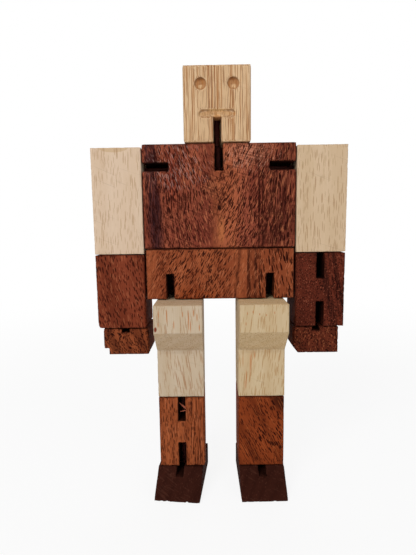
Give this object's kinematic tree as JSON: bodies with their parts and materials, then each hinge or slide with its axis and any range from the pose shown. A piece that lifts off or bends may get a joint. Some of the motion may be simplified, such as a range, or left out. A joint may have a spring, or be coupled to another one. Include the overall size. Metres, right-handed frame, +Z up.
{
  "type": "wooden robot puzzle",
  "caption": "Blocky standing wooden figure of jointed blocks strung on hidden elastic; every block folds or turns so that the figure can be folded into a cube.",
  "frame": {"origin": "under the middle of the outer box, on the surface that the feet stand on", "axes": "+Z up, -Y to the front of the figure, +X to the viewer's right"},
  "size_m": [0.1198, 0.0386, 0.2045],
  "materials": {
    "head_wood": "bare sanded wood, lightly waxed",
    "chest_wood": "bare sanded wood, lightly waxed",
    "hips_wood": "bare sanded wood, lightly waxed",
    "left_upper_arm_wood": "bare sanded wood, lightly waxed",
    "right_upper_arm_wood": "bare sanded wood, lightly waxed",
    "left_forearm_wood": "bare sanded wood, lightly waxed",
    "right_forearm_wood": "bare sanded wood, lightly waxed",
    "left_hand_wood": "bare sanded wood, lightly waxed",
    "right_hand_wood": "bare sanded wood, lightly waxed",
    "left_thigh_wood": "bare sanded wood, lightly waxed",
    "right_thigh_wood": "bare sanded wood, lightly waxed",
    "left_shin_wood": "bare sanded wood, lightly waxed",
    "right_shin_wood": "bare sanded wood, lightly waxed",
    "foot_wood": "bare sanded wood, lightly waxed",
    "elastic": "matt woven cover"
  },
  "bodies": {
    "chest": {"chest": "chest_wood", "chest_elastic": "elastic"},
    "neck": {"neck_elastic": "elastic"},
    "head": {"head": "head_wood", "head_elastic": "elastic"},
    "hips": {"hips": "hips_wood", "hips_elastic": "elastic", "left_hip_knot": "elastic", "right_hip_knot": "elastic"},
    "left_shoulder": {"left_shoulder_elastic": "elastic"},
    "left_upper_arm": {"left_upper_arm": "left_upper_arm_wood", "left_upper_arm_elastic": "elastic"},
    "left_forearm": {"left_forearm": "left_forearm_wood", "left_forearm_elastic": "elastic"},
    "left_wrist": {"left_wrist_elastic": "elastic"},
    "left_hand": {"left_hand": "left_hand_wood", "left_hand_elastic": "elastic"},
    "left_hip": {"left_hip_elastic": "elastic"},
    "left_thigh": {"left_thigh": "left_thigh_wood", "left_thigh_elastic": "elastic"},
    "left_knee": {"left_knee_elastic": "elastic"},
    "left_shin": {"left_shin": "left_shin_wood", "left_shin_elastic": "elastic"},
    "left_ankle": {"left_ankle_elastic": "elastic"},
    "left_foot": {"left_foot": "foot_wood", "left_foot_elastic": "elastic"},
    "right_shoulder": {"right_shoulder_elastic": "elastic"},
    "right_upper_arm": {"right_upper_arm": "right_upper_arm_wood", "right_upper_arm_elastic": "elastic"},
    "right_forearm": {"right_forearm": "right_forearm_wood", "right_forearm_elastic": "elastic"},
    "right_wrist": {"right_wrist_elastic": "elastic"},
    "right_hand": {"right_hand": "right_hand_wood", "right_hand_elastic": "elastic"},
    "right_hip": {"right_hip_elastic": "elastic"},
    "right_thigh": {"right_thigh": "right_thigh_wood", "right_thigh_elastic": "elastic"},
    "right_knee": {"right_knee_elastic": "elastic"},
    "right_shin": {"right_shin": "right_shin_wood", "right_shin_elastic": "elastic"},
    "right_ankle": {"right_ankle_elastic": "elastic"},
    "right_foot": {"right_foot": "foot_wood", "right_foot_elastic": "elastic"}
  },
  "joints": [
    {"name": "neck_fold", "type": "hinge", "parent": "chest", "child": "neck", "pos_m": [0, -0.00485, 0.17022], "axis": [1, 0, 0], "range_deg": [0, 180]},
    {"name": "neck_twist", "type": "hinge", "parent": "neck", "child": "head", "pos_m": [-0.0006, 0.0073, 0.17022], "axis": [0, 0, 1], "range_deg": [-180, 180]},
    {"name": "waist_twist", "type": "hinge", "parent": "chest", "child": "hips", "pos_m": [0, 0.0073, 0.12127], "axis": [0, 0, 1], "range_deg": [-4, 4]},
    {"name": "left_shoulder_fold", "type": "hinge", "parent": "chest", "child": "left_shoulder", "pos_m": [-0.03615, -0.00485, 0.1596], "axis": [0, 0, 1], "range_deg": [0, 90]},
    {"name": "left_shoulder_swing", "type": "hinge", "parent": "left_shoulder", "child": "left_upper_arm", "pos_m": [-0.03615, 0.0073, 0.1596], "axis": [1, 0, 0], "range_deg": [-180, 180]},
    {"name": "left_elbow_fold", "type": "hinge", "parent": "left_upper_arm", "child": "left_forearm", "pos_m": [-0.0481, 0.01925, 0.11887], "axis": [1, 0, 0], "range_deg": [0, 90]},
    {"name": "left_wrist_twist", "type": "hinge", "parent": "left_forearm", "child": "left_wrist", "pos_m": [-0.04735, 0.0073, 0.08263], "axis": [0, 0, 1], "range_deg": [-180, 180]},
    {"name": "left_wrist_fold", "type": "hinge", "parent": "left_wrist", "child": "left_hand", "pos_m": [-0.0466, -0.00465, 0.08263], "axis": [-1, 0, 0], "range_deg": [0, 90]},
    {"name": "left_hip_fold", "type": "hinge", "parent": "hips", "child": "left_hip", "pos_m": [-0.0197, -0.00485, 0.09673], "axis": [-1, 0, 0], "range_deg": [0, 90]},
    {"name": "left_hip_twist", "type": "hinge", "parent": "left_hip", "child": "left_thigh", "pos_m": [-0.0197, 0.0049, 0.09673], "axis": [0, 0, 1], "range_deg": [-20, 25]},
    {"name": "left_knee_twist", "type": "hinge", "parent": "left_thigh", "child": "left_knee", "pos_m": [-0.0197, 0.0049, 0.04838], "axis": [0, 0, 1], "range_deg": [-180, 180]},
    {"name": "left_knee_fold", "type": "hinge", "parent": "left_knee", "child": "left_shin", "pos_m": [-0.0197, -0.00725, 0.04838], "axis": [-1, 0, 0], "range_deg": [0, 90]},
    {"name": "left_ankle_twist", "type": "hinge", "parent": "left_shin", "child": "left_ankle", "pos_m": [-0.0197, 0.0049, 0.01213], "axis": [0, 0, 1], "range_deg": [-180, 180]},
    {"name": "left_ankle_fold", "type": "hinge", "parent": "left_ankle", "child": "left_foot", "pos_m": [-0.02109, -0.00829, 0.01213], "axis": [-0.9945, 0.1045, 0], "range_deg": [0, 135]},
    {"name": "right_shoulder_fold", "type": "hinge", "parent": "chest", "child": "right_shoulder", "pos_m": [0.03615, -0.00485, 0.1596], "axis": [0, 0, -1], "range_deg": [0, 90]},
    {"name": "right_shoulder_swing", "type": "hinge", "parent": "right_shoulder", "child": "right_upper_arm", "pos_m": [0.03615, 0.0073, 0.1596], "axis": [1, 0, 0], "range_deg": [-180, 180]},
    {"name": "right_elbow_fold", "type": "hinge", "parent": "right_upper_arm", "child": "right_forearm", "pos_m": [0.0481, -0.00465, 0.11887], "axis": [-1, 0, 0], "range_deg": [0, 90]},
    {"name": "right_wrist_twist", "type": "hinge", "parent": "right_forearm", "child": "right_wrist", "pos_m": [0.04735, 0.0073, 0.08263], "axis": [0, 0, 1], "range_deg": [-180, 180]},
    {"name": "right_wrist_fold", "type": "hinge", "parent": "right_wrist", "child": "right_hand", "pos_m": [0.0466, -0.00465, 0.08263], "axis": [-1, 0, 0], "range_deg": [0, 180]},
    {"name": "right_hip_fold", "type": "hinge", "parent": "hips", "child": "right_hip", "pos_m": [0.0197, -0.00485, 0.09673], "axis": [-1, 0, 0], "range_deg": [0, 90]},
    {"name": "right_hip_twist", "type": "hinge", "parent": "right_hip", "child": "right_thigh", "pos_m": [0.0197, 0.0049, 0.09673], "axis": [0, 0, 1], "range_deg": [-25, 20]},
    {"name": "right_knee_twist", "type": "hinge", "parent": "right_thigh", "child": "right_knee", "pos_m": [0.0197, 0.0049, 0.04838], "axis": [0, 0, 1], "range_deg": [-180, 180]},
    {"name": "right_knee_fold", "type": "hinge", "parent": "right_knee", "child": "right_shin", "pos_m": [0.0197, 0.01705, 0.04838], "axis": [1, 0, 0], "range_deg": [0, 90]},
    {"name": "right_ankle_twist", "type": "hinge", "parent": "right_shin", "child": "right_ankle", "pos_m": [0.0197, 0.0049, 0.01213], "axis": [0, 0, 1], "range_deg": [-180, 180]},
    {"name": "right_ankle_fold", "type": "hinge", "parent": "right_ankle", "child": "right_foot", "pos_m": [0.02003, -0.00754, 0.01213], "axis": [-0.9997, -0.0262, 0], "range_deg": [0, 90]}
  ]
}
